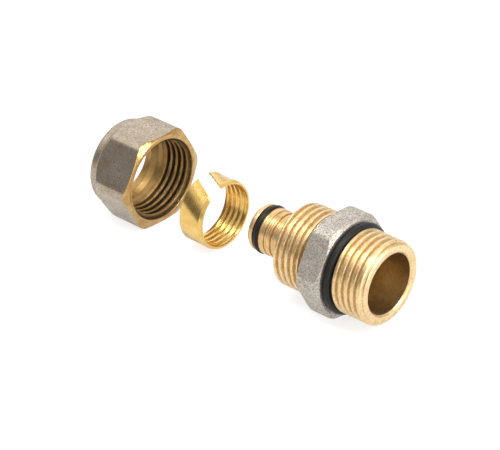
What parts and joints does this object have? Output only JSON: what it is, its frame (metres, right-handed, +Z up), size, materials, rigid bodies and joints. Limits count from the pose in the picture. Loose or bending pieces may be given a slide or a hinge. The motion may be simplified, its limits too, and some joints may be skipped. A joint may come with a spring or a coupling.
{
  "type": "male threaded compression coupling",
  "caption": "Screw-type pipe coupling shown apart: hexagon nut, slanted split ring, and turned body with a grooved spigot, seals and a male thread, to join a pipe to a port.",
  "frame": {"origin": "on the coupling's axis at the inner end of the male thread", "axes": "+X along the axis, out of the male thread; +Z up, away from the flats that it lies on"},
  "size_m": [0.0872, 0.0266, 0.024],
  "materials": {
    "body_brass": "turned, bright",
    "seal_rubber": "smooth, slight gloss",
    "ring_brass": "turned, bright",
    "nut_plate": "matt nickel plate over brass, bare brass inside"
  },
  "bodies": {
    "coupling": {"coupling_body": "body_brass", "thread_seal": "seal_rubber", "spigot_seal": "seal_rubber"},
    "nut": {"compression_nut": "nut_plate"},
    "ring": {"split_ring": "ring_brass"}
  },
  "joints": [
    {"name": "nut_slide", "type": "slide", "parent": "coupling", "child": "nut", "axis": [1, 0, 0], "range_m": [0, 0.0487]},
    {"name": "ring_slide", "type": "slide", "parent": "coupling", "child": "ring", "axis": [0.9912, -0.052, 0.1219], "range_m": [0, 0.02502]}
  ],
  "couplings": [
    {"joint": "ring_slide", "follows": "nut_slide", "ratio": 0.51377}
  ]
}
